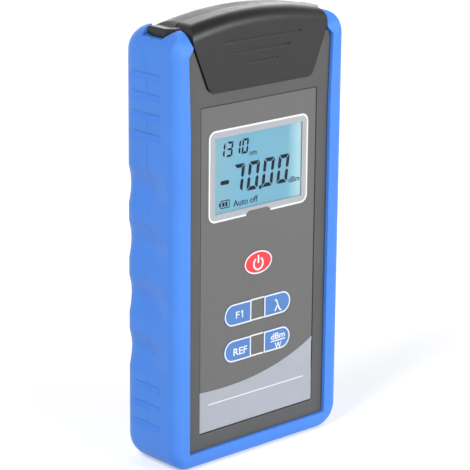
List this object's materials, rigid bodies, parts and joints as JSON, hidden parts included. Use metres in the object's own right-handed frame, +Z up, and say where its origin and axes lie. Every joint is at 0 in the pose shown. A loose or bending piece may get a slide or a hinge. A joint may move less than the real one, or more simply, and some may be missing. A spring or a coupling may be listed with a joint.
{
  "type": "optical power meter",
  "caption": "Hand-held optical power meter in a blue rubber boot: backlit display, membrane keys, and a flip-up cover over the fibre port.",
  "frame": {"origin": "middle of the boot's flat foot, under the meter as it stands upright", "axes": "+X to the right of the front face, +Y from the front to the back, +Z up the meter towards the port"},
  "size_m": [0.094, 0.0348, 0.1892],
  "materials": {
    "boot_rubber": "soft matte",
    "case_plastic": "fine grained matte",
    "cover_plastic": "satin",
    "steel": "satin",
    "overlay_film": "satin printed film",
    "clear_window": "clear gloss",
    "lcd": "backlit display",
    "white_plastic": "matte",
    "switch_plastic": "matte",
    "board": "solder mask",
    "nickel_brass": "nickel plated",
    "ceramic": "polished ceramic",
    "gold_can": "plated can",
    "cell_wrap": "plain wrapped cell",
    "key_red": "satin",
    "key_blue": "satin"
  },
  "bodies": {
    "case": {"boot": "boot_rubber", "front_shell": "case_plastic", "rear_shell": "case_plastic", "cover_hinge_pins": "steel", "overlay": "overlay_film", "display_window": "clear_window", "lcd_glass": "lcd", "lcd_backlight": "white_plastic", "lcd_holder": "white_plastic", "tact_switches": "switch_plastic", "main_pcb": "board", "pcb_chips": "switch_plastic", "pcb_screws": "steel", "case_screws": "steel", "port_flange": "nickel_brass", "fibre_adapter": "nickel_brass", "ferrule_sleeve": "ceramic", "detector_housing": "switch_plastic", "photodiode": "gold_can", "battery_1": "cell_wrap", "battery_2": "cell_wrap", "battery_3": "cell_wrap", "contact_springs": "steel", "contact_plates": "steel"},
    "cover": {"port_cover": "cover_plastic"},
    "door": {"battery_door": "case_plastic"},
    "key_power": {"key_power": "key_red", "plunger_power": "switch_plastic"},
    "key_f1": {"key_f1": "key_blue", "plunger_f1": "switch_plastic"},
    "key_lambda": {"key_lambda": "key_blue", "plunger_lambda": "switch_plastic"},
    "key_ref": {"key_ref": "key_blue", "plunger_ref": "switch_plastic"},
    "key_dbm": {"key_dbm": "key_blue", "plunger_dbm": "switch_plastic"}
  },
  "joints": [
    {"name": "cover_flip", "type": "hinge", "parent": "case", "child": "cover", "pos_m": [0, 0.00355, 0.1825], "axis": [-1, 0, 0], "range_deg": [0, 135]},
    {"name": "door_swing", "type": "hinge", "parent": "case", "child": "door", "pos_m": [0, 0.01545, 0.0206], "axis": [-1, 0, 0], "range_deg": [0, 95]},
    {"name": "power_press", "type": "slide", "parent": "case", "child": "key_power", "axis": [0, 1, 0], "range_m": [0, 0.0004], "stiffness_N_per_m": 3000},
    {"name": "f1_press", "type": "slide", "parent": "case", "child": "key_f1", "axis": [0, 1, 0], "range_m": [0, 0.0004], "stiffness_N_per_m": 3000},
    {"name": "lambda_press", "type": "slide", "parent": "case", "child": "key_lambda", "axis": [0, 1, 0], "range_m": [0, 0.0004], "stiffness_N_per_m": 3000},
    {"name": "ref_press", "type": "slide", "parent": "case", "child": "key_ref", "axis": [0, 1, 0], "range_m": [0, 0.0004], "stiffness_N_per_m": 3000},
    {"name": "dbm_press", "type": "slide", "parent": "case", "child": "key_dbm", "axis": [0, 1, 0], "range_m": [0, 0.0004], "stiffness_N_per_m": 3000}
  ]
}
